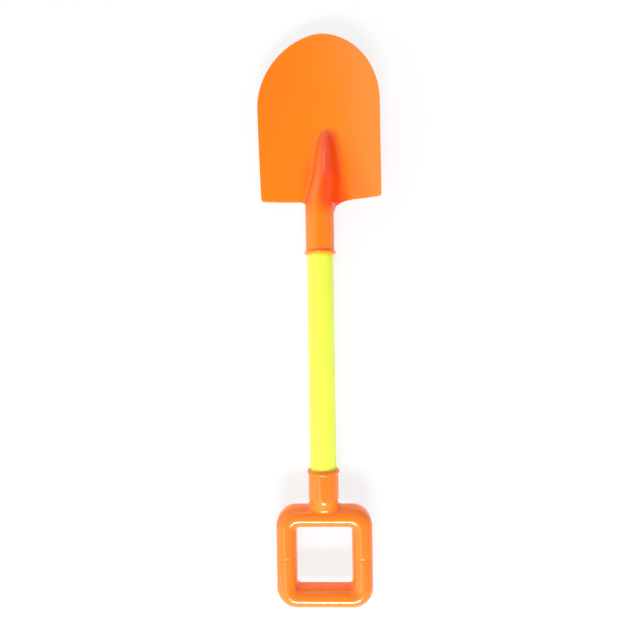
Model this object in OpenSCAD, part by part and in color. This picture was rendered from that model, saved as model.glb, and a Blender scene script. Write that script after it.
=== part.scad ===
// Toy sand shovel, 40 cm long: a moulded blade and a moulded square grip, pushed onto the two ends of a plastic tube.
// It lies on its back. The tube runs along Y, the blade's tip points to +Y and the scooping side faces up.
// All sizes are millimetres.

/* [Tube] */
// Outer diameter of the tube
tube_d = 18.2; // [16:0.1:20]
// Wall of the tube
tube_wall = 1.1; // [0.8:0.1:1.6]
// Length of tube that shows between the two sockets
tube_show = 149; // [120:1:180]
// Radial clearance between the tube and a socket
push_fit = 0.05; // [0.02:0.01:0.1]

/* [Blade] */
// Length of the blade from its shoulders to its tip
blade_l = 116; // [105:1:130]
// Width of the blade
blade_w = 85.5; // [76:0.5:96]
// Thickness of the blade
blade_wall = 1.8; // [1.4:0.1:2.4]
// Length of the rounded nose
nose_l = 52.8; // [42:1:60]
// Radius of the shoulder corners
corner_r = 1.6; // [1:0.1:3]
// Height of the side edges above the middle of the blade
dish_h = 9.2; // [5:0.1:12]
// Depth of the blade's middle below the tube's axis, at the shoulders
keel_drop = 13.6; // [12:0.1:16]
// Rise of the blade's middle from the shoulders to the tip
nose_rise = 8.8; // [5:0.1:12]
// Turn of the blade about the tube, right side up, in degrees
blade_turn = 7.5; // [0:0.5:12]

/* [Ridge] */
// Length of the ridge past the shoulders
ridge_l = 50; // [40:1:56]
// Radius of the ridge's crown at its blunt end
ridge_end_r = 4.5; // [3:0.1:6]
// How far the ridge's end leans to the right of the tube's axis
ridge_lean = 3.8; // [0:0.1:4.5]
// Height over which the crest runs out into the sheet
ridge_ease = 0.9; // [0.4:0.1:1.5]
// Radius of the hollow blend at the left foot of the ridge
left_foot_r = 5; // [4:0.1:6]
// Radius of the hollow blend at the right foot of the ridge
right_foot_r = 10; // [7:0.1:11]
// Slope of the ridge's flanks from upright, in degrees
flank_draft = 10; // [6:1:16]
// How far below the shoulders the ridge starts out of the socket
ridge_back = 8; // [7.2:0.1:10]

/* [Blade socket] */
// Length of the socket from its mouth to the shoulders
socket_l = 39.7; // [36:0.1:46]
// Wall of the socket round the tube
socket_wall = 0.78; // [0.6:0.02:1.2]
// Depth to which the tube is pushed in
socket_seat = 31.6; // [28:0.1:32]
// Thickness of the wall that stops the tube
socket_stop = 1.6; // [1.2:0.1:2]
// Radius of the rolled lip
socket_lip_r = 1.05; // [0.8:0.05:1.4]
// Length of the blends between the socket and the shoulders
neck_l = 16; // [13:0.5:18]
// Distance from the axis at which the left blend meets the shoulders
left_neck_w = 16.5; // [16:0.5:20]
// Distance from the axis at which the right blend meets the shoulders
right_neck_w = 21.5; // [21:0.5:28]

/* [Grip] */
// Outer width of the square loop
loop_w = 66.7; // [58:0.1:76]
// Outer height of the square loop
loop_h = 69.5; // [60:0.1:80]
// Width of the loop's bars
bar_w = 14.1; // [12.5:0.1:16]
// Depth of the loop's bars, front to back
bar_d = 11.6; // [10:0.1:14]
// Outer corner radius of the loop
loop_corner_r = 13.9; // [12:0.1:16]
// Corner radius of the finger opening
hole_corner_r = 2.5; // [1.5:0.1:4]
// Wall of the hollow bars
grip_wall = 1.8; // [1.4:0.1:2.2]
// Thickness of the cross ribs inside the bars
rib_wall = 1.4; // [1:0.1:2]
// How far the cross ribs stay below the back rim
rib_set = 0.6; // [0.2:0.1:2]

/* [Grip socket] */
// Length of the grip from the socket's mouth to the far end of the loop
grip_l = 95.3; // [90:0.1:104]
// Wall of the socket round the tube
grip_socket_wall = 1.28; // [1:0.02:1.6]
// Length of the straight part of the socket, before its domed end
grip_socket_l = 18.3; // [17:0.1:20]
// Depth to which the tube is pushed in
grip_seat = 20.3; // [19:0.1:21]
// Radius of the rolled lip
grip_lip_r = 1.3; // [1.1:0.1:1.8]
// How far the rolled lip stands out from the socket
grip_lip_out = 0.75; // [0.5:0.05:1]
// Radius of the blend between the socket and the loop
grip_blend_r = 4; // [3:0.1:5]

/* [Hidden] */
$fn = 72;
overrun = 1;
mouth_chamfer = 0.35;

// Places along the tube, from the middle of the whole length
total_l = grip_l + tube_show + socket_l + blade_l;
grip_end_y = -total_l / 2;
grip_mouth_y = grip_end_y + grip_l;
socket_mouth_y = grip_mouth_y + tube_show;
shoulder_y = socket_mouth_y + socket_l;
loop_y = grip_end_y + loop_h / 2;

// Radii of the tube's fit
tube_r = tube_d / 2;
bore_r = tube_r + push_fit;
socket_r = bore_r + socket_wall;
grip_socket_r = bore_r + grip_socket_wall;

// Blade: a socket that opens into a sheet with a ridge, drawn as sections square to the tube.
// v runs from the shoulders to the tip, u across the blade, and z up from the tube's axis.
half_w = blade_w / 2;
straight_l = blade_l - nose_l;
nose_long_share = 1.88;
nose_wide_share = 1.8;
neck_start_share = 0.9;
neck_side_share = 1.07;
crest_bow_share = 1.9;
lean_share = 0.45;
foot_cap_share = 0.98;
neck_level_share = 0.17;
nose_slope = 2 * nose_rise / blade_l;
// Start of the ridge's hollow, behind the wall that stops the tube
hollow_v = -socket_l + socket_seat + socket_stop;
hollow_step = 0.4;
lip_set = 0.15;

// Width of the nose as a share of the blade's width
function nose_share(v) =
    v <= straight_l ? 1
    : pow(1 - pow(min(1, (v - straight_l) / nose_l), nose_long_share), 1 / nose_wide_share);

// Half width of the blade, with rounded shoulder corners
function edge_u(v) =
    v < corner_r ? half_w - corner_r + sqrt(max(0, pow(corner_r, 2) - pow(corner_r - v, 2)))
    : half_w * nose_share(v);

// Sizes that differ between the left side, where side is below zero, and the right side
function neck_w(side) = side < 0 ? left_neck_w : right_neck_w;
function foot_r(side) = side < 0 ? left_foot_r : right_foot_r;

// Half width of the neck between the socket and the shoulders, then of the sheet's middle band.
// It opens to the socket's side first and then sweeps out to the shoulders.
function soft_step(t) = let (x = min(1, max(0, t))) x * x * (3 - 2 * x);
function band_u(v, side) =
    v < 0 ? let (start = neck_start_share * socket_r, mid = neck_side_share * socket_r, t = 2 * (1 + v / neck_l))
        start + (mid - start) * soft_step(t) + (neck_w(side) - mid) * (1 - sqrt(1 - pow(max(0, t - 1), 2)))
    : neck_w(side) * nose_share(v);

// Height of the middle of the sheet: it falls from the socket to the shoulders and rises to the tip
function keel_z(v) =
    v < 0 ? -keel_drop + nose_slope * v
        + (keel_drop - neck_level_share * socket_r + nose_slope * neck_l) * pow(v / neck_l, 2)
    : -keel_drop + nose_rise * (1 - pow(1 - v / blade_l, 2));

function dish_z(v, u) = dish_h * pow(u / half_w, 2) * min(1, max(0, 1 + v / neck_l));

// The ridge's crown radius and crest height. The crest bows down to the sheet and eases into it.
function ridge_share(v) = max(0, (v + ridge_back) / (ridge_l + ridge_back));
function crown_r(v) = let (t = min(1, ridge_share(v))) socket_r * (1 - t) + ridge_end_r * t;
function crest_z(v) =
    let (
        sheet = keel_z(v) + blade_wall / 2,
        end = keel_z(ridge_l) + blade_wall / 2,
        above = socket_r - (socket_r - end) * pow(ridge_share(v), crest_bow_share) - sheet
    ) sheet + (above > ridge_ease ? above
        : above < -ridge_ease ? 0
        : pow(above + ridge_ease, 2) / (4 * ridge_ease));

// Place across the blade once the ridge leans. The edges keep their places.
function leaned(v, u) =
    u + ridge_lean * soft_step(ridge_share(v) / lean_share) * (pow(edge_u(v), 2) - pow(u, 2)) / pow(half_w, 2);

// One section is a path from the crest outwards: crown arc, straight flank, foot arc, then the flat sheet.
// turn is the angle of the flank, flank its length, and the three marks are path lengths.
function section(v, side) =
    let (
        r = crown_r(v),
        foot = foot_r(side),
        rise = max(0, crest_z(v) - keel_z(v) - blade_wall / 2),
        steep = 90 - flank_draft,
        arcs = (r + foot) * (1 - cos(steep)),
        turn = rise < arcs ? acos(1 - rise / (r + foot)) : steep,
        flank = rise < arcs ? 0 : (rise - arcs) / sin(steep),
        mark_a = r * turn * PI / 180,
        mark_b = mark_a + flank,
        mark_c = mark_b + foot * turn * PI / 180,
        foot_u = (r + foot) * sin(turn) + flank * cos(turn)
    ) [r, turn, mark_a, mark_b, mark_c, foot_u, foot];

// Path length at which a section reaches the distance u from its middle
function path_at(s, u) =
    u < s[0] * sin(s[1]) ? s[0] * asin(u / s[0]) * PI / 180
    : u < s[5] - s[6] * sin(s[1]) ? s[2] + (u - s[0] * sin(s[1])) / cos(s[1])
    : u < s[5] ? s[4] - s[6] * asin((s[5] - u) / s[6]) * PI / 180
    : s[4] + u - s[5];

// Slope of the section at a path length
function slope_at(s, p) =
    p < s[2] ? p / s[0] * 180 / PI
    : p < s[3] ? s[1]
    : p < s[4] ? (s[4] - p) / s[6] * 180 / PI
    : 0;

// Place of the section at a path length, as [u, fall below the crest]
function place_at(s, p) =
    let (a = slope_at(s, p), flank_end = [s[0] * sin(s[1]), s[0] * (1 - cos(s[1]))])
    p < s[2] ? [s[0] * sin(a), s[0] * (1 - cos(a))]
    : p < s[3] ? flank_end + (p - s[2]) * [cos(s[1]), sin(s[1])]
    : flank_end + (s[3] - s[2]) * [cos(s[1]), sin(s[1])]
        + (p < s[4] ? s[6] * [sin(s[1]) - sin(a), cos(a) - cos(s[1])]
            : [s[6] * sin(s[1]) + p - s[4], s[6] * (1 - cos(s[1]))]);

// Rows of sections from the socket's mouth to the nose, and columns on each side of the middle
neck_count = 7;
neck_rows = [for (k = [0:neck_count]) -neck_l + (neck_l - ridge_back) * k / neck_count];
stop_share = [0.7, 0.45, 0.25, 0.1];
stop_rows = concat([hollow_v, hollow_v + hollow_step], [for (t = stop_share) t * hollow_v]);
corner_rows = [0, corner_r / 6, corner_r];
ridge_count = 12;
ridge_rows = [for (k = [1:ridge_count]) ridge_l - (ridge_l - corner_r) * pow(1 - k / ridge_count, 2)];
mid_rows = straight_l > ridge_l + overrun ? [(ridge_l + straight_l) / 2, straight_l] : [];
nose_count = 14;
nose_rows = [for (k = [1:nose_count - 1])
    let (v = straight_l + nose_l * sin(90 * k / nose_count))
    if (v > ridge_l + overrun / 2) v];
neck_all = concat([-socket_l + socket_lip_r], neck_rows, stop_rows);
rows = concat(neck_all, corner_rows, ridge_rows, mid_rows, nose_rows);
neck_n = len(neck_all);
row_n = len(rows);
band_n = 14;
edge_n = 19;

// Path lengths of a row's columns. They follow the crown, flank and foot of the ridge, keep a least spread where
// these narrow to nothing, and even out towards the tip.
crown_n = 6;
flank_n = 8;
foot_n = 12;
crown_least_share = 0.06;
flank_least_share = 0.04;
foot_least_share = 0.12;
even_gain = 3;
function column_path(s, v, j) =
    let (
        inner = path_at(s, band_u(v, j)),
        full = v < 0 ? s[4] + max(0, neck_w(j) - s[5]) : inner,
        crown = max(s[2], crown_least_share * full),
        flank = max(s[3], crown + flank_least_share * full),
        foot = min(foot_cap_share * full, max(s[4], flank + foot_least_share * full)),
        k = min(abs(j), band_n),
        followed = k <= crown_n ? crown * k / crown_n
            : k <= flank_n ? crown + (flank - crown) * (k - crown_n) / (flank_n - crown_n)
            : k <= foot_n ? flank + (foot - flank) * (k - flank_n) / (foot_n - flank_n)
            : foot + (full - foot) * (k - foot_n) / (band_n - foot_n),
        even = min(1, max(0, v - ridge_l) / (blade_l - ridge_l) * even_gain)
    )
    abs(j) <= band_n ? (followed * (1 - even) + even * full * k / band_n) * inner / full
    : inner + (path_at(s, edge_u(v)) - inner) * (abs(j) - band_n) / (edge_n - band_n);

// A point of the blade's face, and the point of its back one wall behind it. The socket keeps the neck's first section.
function neck_v(v) = max(v, -neck_l);
function face_point(v, j) =
    let (
        w = neck_v(v),
        s = section(w, j),
        q = place_at(s, column_path(s, w, j)),
        u = leaned(w, sign(j) * q[0])
    ) [u, v, crest_z(w) - q[1] + dish_z(w, u)];
function sheet_back(v, j) =
    let (
        s = section(v, j),
        p = column_path(s, v, j),
        q = place_at(s, p),
        a = slope_at(s, p),
        u = leaned(v, sign(j) * (q[0] - blade_wall * sin(a))),
        face_u = leaned(v, sign(j) * q[0])
    ) [u, v, crest_z(v) - q[1] + dish_z(v, face_u) - blade_wall * cos(a)];

// The back edge of the neck, as [u, z]: it starts on the socket's round side and turns in behind the face
function neck_edge(v, side) =
    let (
        w = neck_v(v),
        s = section(w, side),
        p = column_path(s, w, side * band_n),
        q = place_at(s, p),
        turned = min(1, (w + neck_l) / (neck_l - ridge_back)),
        a = slope_at(s, p) + 90 * turned,
        lift = dish_z(w, leaned(w, side * q[0])),
        edge = [q[0] + blade_wall * cos(a), crest_z(w) - q[1] + lift - blade_wall * sin(a)]
    ) edge * max(socket_r / norm(edge), turned + (1 - turned) * socket_r / norm(edge));

// Up to hollow_v the back is the socket's round underside, which runs straight on to the edges of the neck
function filled_back(v, j) =
    let (
        edge = neck_edge(v, j < 0 ? -1 : 1),
        touch = atan2(edge[0], -edge[1]) - acos(min(1, socket_r / norm(edge))),
        start = socket_r * [sin(touch), -cos(touch)],
        arc = socket_r * touch * PI / 180,
        p = (arc + norm(edge - start)) * abs(j) / band_n,
        a = p / socket_r * 180 / PI,
        q = p <= arc ? socket_r * [sin(a), -cos(a)]
            : start + (edge - start) * (p - arc) / norm(edge - start)
    ) [leaned(v, sign(j) * q[0]), v, q[1]];
function back_point(v, j) = v <= hollow_v ? filled_back(v, j) : sheet_back(v, j);

function reach(i) = i < neck_n ? band_n : edge_n;
function point_id(i, j) =
    (i < neck_n ? i * (2 * band_n + 1) : neck_n * (2 * band_n + 1) + (i - neck_n) * (2 * edge_n + 1))
    + j + reach(i);

tip_z = keel_z(blade_l) + blade_wall / 2;
face_points = [for (i = [0:row_n - 1]) for (j = [-reach(i):reach(i)]) face_point(rows[i], j)];
back_points = [for (i = [0:row_n - 1]) for (j = [-reach(i):reach(i)]) back_point(rows[i], j)];
tip_points = [[0, blade_l, tip_z], [0, blade_l, tip_z - blade_wall]];
side_n = len(face_points);
tip_id = 2 * side_n;

// Two triangles for four corners, clockwise from outside
function pair(a, b, c, d) = [[a, b, c], [a, c, d]];
function face_grid() = [for (i = [0:row_n - 2]) for (j = [-reach(i):reach(i) - 1])
    each pair(point_id(i, j), point_id(i + 1, j), point_id(i + 1, j + 1), point_id(i, j + 1))];
function wall_across(i, from, to) = [for (j = [from:to - 1])
    each pair(point_id(i, j), point_id(i, j + 1), side_n + point_id(i, j + 1), side_n + point_id(i, j))];
function wall_along(side, from, to, edge) = [for (i = [from:to])
    let (a = point_id(i, side * edge), b = point_id(i + 1, side * edge))
    each side > 0 ? pair(a, b, side_n + b, side_n + a) : pair(b, a, side_n + a, side_n + b)];
function tip_fan() =
    let (i = row_n - 1, right = point_id(i, edge_n), left = point_id(i, -edge_n))
    concat(
        [for (j = [-edge_n:edge_n - 1]) [point_id(i, j), tip_id, point_id(i, j + 1)]],
        [for (j = [-edge_n:edge_n - 1])
            [side_n + point_id(i, j), side_n + point_id(i, j + 1), tip_id + 1]],
        pair(right, tip_id, tip_id + 1, side_n + right),
        pair(tip_id, left, side_n + left, tip_id + 1)
    );

skin_faces = let (front = face_grid()) concat(
    front,
    [for (t = front) [side_n + t[0], side_n + t[2], side_n + t[1]]],
    wall_across(0, -band_n, band_n),
    wall_along(1, 0, neck_n - 1, band_n),
    wall_along(-1, 0, neck_n - 1, band_n),
    wall_across(neck_n, band_n, edge_n),
    wall_across(neck_n, -edge_n, -band_n),
    wall_along(1, neck_n, row_n - 2, edge_n),
    wall_along(-1, neck_n, row_n - 2, edge_n),
    tip_fan()
);

// Height of the tube's axis, with the turned blade's lowest point on the ground
axis_z = -min([for (p = back_points) p[0] * sin(blade_turn) + p[2] * cos(blade_turn)]);

// Grip: places in the loop's own frame, with the tube's axis through its middle
bar_r = bar_w / 2;
rim_drop = bar_d - bar_r;
bar_x = loop_w / 2 - bar_r;
bar_y = loop_h / 2 - bar_r;
mouth_y = grip_l - loop_h / 2;
dome_y = mouth_y - grip_socket_l;
stop_y = mouth_y - grip_seat - grip_wall;
pocket_r = grip_socket_r - grip_wall;
window_w = 1.3 * pocket_r;
blend_embed = 0.05;
blend_reach_share = 2.2;
blend_low_share = 1.5;
blend_count = 12;
blend_steps = 5;

// A round rod along Y from one place to another
module rod(r, from, to) {
    translate([0, from, 0])
        rotate([-90, 0, 0])
            cylinder(r = r, h = to - from);
}

// A ring round the Y axis with a round section
module lip(ring_r, section_r, y) {
    translate([0, y, 0])
        rotate([-90, 0, 0])
            rotate_extrude()
                translate([ring_r, 0])
                    circle(r = section_r);
}

// The bore that takes the tube, with a chamfered mouth that faces along dir
module tube_bore(mouth, depth, dir) {
    translate([0, mouth, 0])
        rotate([dir > 0 ? 90 : -90, 0, 0]) {
            translate([0, 0, -overrun])
                cylinder(r = bore_r, h = depth + overrun);
            translate([0, 0, -mouth_chamfer])
                cylinder(r1 = bore_r + 2 * mouth_chamfer, r2 = bore_r, h = 2 * mouth_chamfer);
        }
}

module blade() {
    color("#ff8726")
        translate([0, shoulder_y, axis_z])
            rotate([0, -blade_turn, 0])
                difference() {
                    union() {
                        polyhedron(points = concat(face_points, back_points, tip_points), faces = skin_faces);
                        rod((bore_r + socket_r) / 2, -socket_l, -socket_l + 2 * socket_lip_r);
                        lip(socket_r - lip_set, socket_lip_r + lip_set, -socket_l + socket_lip_r + lip_set);
                    }
                    tube_bore(-socket_l, socket_seat, -1);
                }
}

module shaft_tube() {
    color("#f4ff50")
        translate([0, 0, axis_z])
            difference() {
                rod(tube_r, grip_mouth_y - grip_seat, socket_mouth_y + socket_seat);
                rod(tube_r - tube_wall, grip_mouth_y - grip_seat - overrun, socket_mouth_y + socket_seat + overrun);
            }
}

// Section of a bar: a round front, straight sides and a flat back at the depth drop
module bar_section(r, drop) {
    intersection() {
        union() {
            circle(r = r);
            translate([-r, -drop])
                square([2 * r, drop]);
        }
        translate([-r, -drop])
            square([2 * r, drop + r]);
    }
}

// A quarter turn of the bar section round a corner
module corner_turn(turn_r, r, drop) {
    rotate_extrude(angle = 90)
        intersection() {
            translate([turn_r, 0])
                bar_section(r, drop);
            translate([0, -drop])
                square([turn_r + r, drop + r]);
        }
}

// The whole square loop of one bar section. Each corner joins a tight outer turn and a wide inner one.
module loop(r, drop) {
    outer_x = loop_w / 2 - loop_corner_r;
    outer_y = loop_h / 2 - loop_corner_r;
    inner_x = loop_w / 2 - bar_w - hole_corner_r;
    inner_y = loop_h / 2 - bar_w - hole_corner_r;
    for (side = [-1, 1]) {
        translate([side * bar_x, outer_y, 0])
            rotate([90, 0, 0])
                linear_extrude(2 * outer_y)
                    bar_section(r, drop);
        translate([-outer_x, side * bar_y, 0])
            rotate([90, 0, 90])
                linear_extrude(2 * outer_x)
                    bar_section(r, drop);
    }
    for (quarter = [0:3]) {
        place = [[1, 1], [-1, 1], [-1, -1], [1, -1]][quarter];
        translate([place[0] * outer_x, place[1] * outer_y, 0])
            rotate([0, 0, 90 * quarter])
                corner_turn(loop_corner_r - bar_r, r, drop);
        translate([place[0] * inner_x, place[1] * inner_y, 0])
            rotate([0, 0, 90 * quarter])
                corner_turn(hole_corner_r + bar_r, r, drop);
    }
}

// The socket's outside: a round rod with a domed end, which past the stop wall ends at the loop's back rim
module grip_socket() {
    difference() {
        union() {
            rod(grip_socket_r, dome_y, mouth_y);
            translate([0, dome_y, 0])
                sphere(r = grip_socket_r);
        }
        translate([-grip_socket_r - overrun, stop_y - 2 * grip_socket_r, -rim_drop - grip_socket_r])
            cube([2 * (grip_socket_r + overrun), 2 * grip_socket_r, grip_socket_r]);
    }
}

// The hollow behind the stop wall, open to the back and to the top bar's channel
module socket_pocket() {
    intersection() {
        union() {
            translate([0, dome_y, 0])
                sphere(r = pocket_r);
            translate([0, dome_y, -grip_socket_r - overrun])
                cylinder(r = pocket_r, h = grip_socket_r + overrun);
            translate([-window_w / 2, bar_y, -rim_drop - overrun])
                cube([window_w, dome_y - bar_y, rim_drop + overrun]);
        }
        translate([-grip_socket_r, bar_y, -grip_socket_r - overrun])
            cube([2 * grip_socket_r, stop_y - bar_y, 2 * (grip_socket_r + overrun)]);
    }
}

// Blend where a ball of grip_blend_r rolls between the socket's dome and the top bar, over the front from side to side.
// The ball's centre keeps its radius clear of both, so its place follows from the angle round the bar.
dome_reach = grip_socket_r + grip_blend_r;
bar_reach = bar_r + grip_blend_r;
dome_gap = dome_y - bar_y;
crest_turn = acos((pow(bar_reach, 2) + pow(dome_gap, 2) - pow(dome_reach, 2)) / (2 * bar_reach * dome_gap));

function ball_place(a) =
    let (
        y = bar_reach * (a < 0 ? 1 : cos(a)),
        z = bar_reach * sin(a),
        x = sqrt(max(0, pow(dome_reach, 2) - pow(y - dome_gap, 2) - pow(z, 2)))
    ) [x, y, z];

function blend_station(k) =
    let (
        low = asin(min(1, blend_low_share * rim_drop / bar_reach)),
        a = -low + (crest_turn + low) * sin(90 * (1 - abs(k) / blend_count)),
        c = ball_place(a),
        side = k < 0 ? -1 : 1,
        centre = [side * c[0], c[1], c[2]],
        dome = [0, dome_gap, 0],
        axis = [centre[0], 0, a < 0 ? c[2] : 0],
        on_dome = dome + (centre - dome) * (grip_socket_r - blend_embed) / dome_reach,
        on_bar = axis + (centre - axis) * (bar_r - blend_embed) / bar_reach,
        p = on_dome - centre,
        q = on_bar - centre,
        span = acos(p * q / (norm(p) * norm(q))),
        arc = [for (t = [0:blend_steps])
            centre + (p * sin(span * (1 - t / blend_steps)) + q * sin(span * t / blend_steps)) / sin(span)]
    ) concat(arc, [centre + blend_reach_share * (p + q)]);

module socket_blend() {
    stations = [for (k = [-blend_count:blend_count]) blend_station(k)];
    ring_n = blend_steps + 2;
    last = 2 * blend_count;
    points = [for (s = stations) each s];
    sides = [for (i = [0:last - 1]) for (j = [0:ring_n - 1])
        let (n = (j + 1) % ring_n)
        each pair(i * ring_n + j, (i + 1) * ring_n + j, (i + 1) * ring_n + n, i * ring_n + n)];
    ends = concat(
        [for (j = [1:ring_n - 2]) [0, j, j + 1]],
        [for (j = [1:ring_n - 2]) [last * ring_n, last * ring_n + j + 1, last * ring_n + j]]
    );
    difference() {
        translate([0, bar_y, 0])
            polyhedron(points = points, faces = concat(sides, ends));
        translate([-loop_w / 2, bar_y, -rim_drop - grip_socket_r])
            cube([loop_w, dome_y, grip_socket_r]);
    }
}

// A flat rib across each bar at its middle
module cross_ribs() {
    rib_h = bar_r - grip_wall / 2 + rim_drop - rib_set;
    rib_w = bar_w - grip_wall;
    for (side = [-1, 1]) {
        translate([side * bar_x - rib_w / 2, -rib_wall / 2, -rim_drop + rib_set])
            cube([rib_w, rib_wall, rib_h]);
        translate([-rib_wall / 2, side * bar_y - rib_w / 2, -rim_drop + rib_set])
            cube([rib_wall, rib_w, rib_h]);
    }
}

module grip() {
    color("#ff8a30")
        translate([0, loop_y, axis_z]) {
            difference() {
                union() {
                    loop(bar_r, rim_drop);
                    grip_socket();
                    socket_blend();
                    lip(grip_socket_r + grip_lip_out - grip_lip_r, grip_lip_r, mouth_y - grip_lip_r);
                }
                loop(bar_r - grip_wall, rim_drop + overrun);
                socket_pocket();
                tube_bore(mouth_y, grip_seat, 1);
            }
            intersection() {
                cross_ribs();
                loop(bar_r - grip_wall / 2, rim_drop);
            }
        }
}

blade();
shaft_tube();
grip();
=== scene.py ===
"""Sand shovel: a moulded orange blade and grip on a neon yellow tube, lying on its back on a white floor."""

import math
from collections import namedtuple

import bmesh
import bpy
from bpy.props import FloatProperty, FloatVectorProperty, IntProperty, PointerProperty
from mathutils import Matrix, Vector


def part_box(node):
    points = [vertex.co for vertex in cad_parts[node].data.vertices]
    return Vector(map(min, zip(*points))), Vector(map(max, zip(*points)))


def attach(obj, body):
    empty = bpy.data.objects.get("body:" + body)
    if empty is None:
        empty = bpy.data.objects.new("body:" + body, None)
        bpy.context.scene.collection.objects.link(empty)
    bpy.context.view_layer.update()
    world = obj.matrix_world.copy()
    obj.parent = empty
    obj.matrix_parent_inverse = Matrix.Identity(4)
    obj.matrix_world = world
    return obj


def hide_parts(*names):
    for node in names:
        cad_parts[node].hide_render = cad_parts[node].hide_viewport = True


bl_info = {
    "name": "Sand Shovel",
    "version": (1, 0, 0),
    "blender": (4, 5, 0),
    "location": "View3D > Sidebar > Sand Shovel",
    "description": "Builds a toy sand shovel from its blade, tube and grip, with a plain studio stage",
    "category": "Add Mesh",
}

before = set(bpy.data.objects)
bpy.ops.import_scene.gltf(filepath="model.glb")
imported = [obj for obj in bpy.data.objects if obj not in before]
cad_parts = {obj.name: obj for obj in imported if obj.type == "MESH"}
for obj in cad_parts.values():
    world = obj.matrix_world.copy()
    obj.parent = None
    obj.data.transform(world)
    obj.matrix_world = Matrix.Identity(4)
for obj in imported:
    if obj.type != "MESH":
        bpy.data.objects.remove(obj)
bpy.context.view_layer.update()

# Places that follow from the frame
tube_low, tube_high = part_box("shaft_tube")
TUBE_R = (tube_high[0] - tube_low[0]) / 2
AXIS_X = (tube_high[0] + tube_low[0]) / 2
AXIS_Z = (tube_high[2] + tube_low[2]) / 2
TUBE_ENDS = (tube_low[1], tube_high[1])
TIP_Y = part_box("blade")[1][1]
GRIP_END_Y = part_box("grip")[0][1]


def length(name, words, default):
    """A length setting, in metres."""
    return FloatProperty(name=name, description=words, default=default, min=0.0, unit="LENGTH", precision=5)


def angle(name, words, degrees):
    """An angle setting, given here in degrees."""
    return FloatProperty(name=name, description=words, default=math.radians(degrees), unit="ROTATION")


def colour(name, words, default):
    """A colour setting, in linear red, green and blue."""
    return FloatVectorProperty(
        name=name, description=words, default=default, size=3, min=0.0, max=1.0, subtype="COLOR"
    )


class BladeSizes(bpy.types.PropertyGroup):
    length: length("Length", "Length of the blade from its shoulders to its tip", 0.116)
    width: length("Width", "Width of the blade", 0.0855)
    wall: length("Wall", "Thickness of the blade", 0.0018)
    nose: length("Nose", "Length of the rounded nose", 0.0528)
    corner: length("Corner", "Radius of the shoulder corners", 0.0016)
    dish: length("Dish", "Height of the side edges above the middle", 0.0092)
    keel: length("Keel", "Depth of the middle below the tube's axis at the shoulders", 0.0136)
    rise: length("Rise", "Rise of the middle from the shoulders to the tip", 0.0088)
    turn: angle("Turn", "Turn of the blade about the tube", 7.5)
    ridge: length("Ridge", "Length of the ridge past the shoulders", 0.05)
    ridge_end: length("Ridge End", "Radius of the ridge's crown at its blunt end", 0.0045)
    lean: length("Lean", "How far the ridge's end leans to the right of the tube's axis", 0.0038)
    ease: length("Ease", "Height over which the crest runs out into the sheet", 0.0009)
    left_foot: length("Left Foot", "Radius of the hollow blend at the ridge's left foot", 0.005)
    right_foot: length("Right Foot", "Radius of the hollow blend at the ridge's right foot", 0.01)
    draft: angle("Draft", "Slope of the ridge's flanks from upright", 10)
    ridge_back: length("Ridge Back", "How far below the shoulders the ridge starts", 0.008)
    socket: length("Socket", "Length of the socket from its mouth to the shoulders", 0.0397)
    socket_wall: length("Socket Wall", "Wall of the socket round the tube", 0.00078)
    seat: length("Seat", "Depth to which the tube is pushed in", 0.0316)
    stop: length("Stop", "Thickness of the wall that stops the tube", 0.0016)
    lip: length("Lip", "Radius of the rolled lip", 0.00105)
    neck: length("Neck", "Length of the blends between the socket and the shoulders", 0.016)
    left_neck: length("Left Neck", "Distance from the axis at which the left blend ends", 0.0165)
    right_neck: length("Right Neck", "Distance from the axis at which the right blend ends", 0.0215)
    rim: length("Rim", "Rounding of the blade's edges", 0.0004)


class GripSizes(bpy.types.PropertyGroup):
    width: length("Width", "Outer width of the square loop", 0.0667)
    height: length("Height", "Outer height of the square loop", 0.0695)
    bar: length("Bar", "Width of the loop's bars", 0.0141)
    depth: length("Depth", "Depth of the bars from front to back", 0.0116)
    corner: length("Corner", "Outer corner radius of the loop", 0.0139)
    hole_corner: length("Hole Corner", "Corner radius of the finger opening", 0.0025)
    wall: length("Wall", "Wall of the hollow bars", 0.0018)
    rib: length("Rib", "Thickness of the cross ribs", 0.0014)
    rib_set: length("Rib Set", "How far the ribs stay below the back rim", 0.0006)
    length: length("Length", "Length of the grip from the socket's mouth to the far end", 0.0953)
    socket_wall: length("Socket Wall", "Wall of the socket round the tube", 0.00128)
    socket: length("Socket", "Length of the straight part of the socket", 0.0183)
    seat: length("Seat", "Depth to which the tube is pushed in", 0.0203)
    lip: length("Lip", "Radius of the rolled lip", 0.0013)
    lip_out: length("Lip Out", "How far the lip stands out from the socket", 0.00075)
    blend: length("Blend", "Radius of the blend between the socket and the loop", 0.004)


class TubeSizes(bpy.types.PropertyGroup):
    wall: length("Wall", "Wall of the tube", 0.0011)
    fit: length("Fit", "Radial clearance between the tube and a socket", 0.00005)
    around: IntProperty(name="Around", description="Segments round the tube", default=128, min=24, max=256)


class ShovelFinish(bpy.types.PropertyGroup):
    blade: colour("Blade", "Colour of the blade's plastic", (1.0, 0.222, 0.0085))
    # ridge is painted shade: a deeper red where the ridge's flanks and the hollow beside it lie in shade
    ridge: colour("Ridge", "Deeper colour beside the blade's ridge", (1.0, 0.08, 0.005))
    grip: colour("Grip", "Colour of the grip's plastic", (1.0, 0.21, 0.014))
    tube: colour("Tube", "Colour of the tube", (0.89, 1.0, 0.085))
    # mouths is painted bounce light: the orange that the sockets throw onto the tube next to their mouths
    mouths: colour("Mouths", "Colour of the tube just outside the sockets' mouths", (1.0, 0.68, 0.02))


# Small helpers


def placed(name, data):
    """A new object in the scene."""
    thing = bpy.data.objects.new(name, data)
    bpy.context.scene.collection.objects.link(thing)
    return thing


def add_piece(name, mesh, node):
    """Add the finished object for one CAD node, riding on the shovel's only body."""
    piece = placed(name, mesh)
    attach(piece, "root")
    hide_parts(node)


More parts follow.
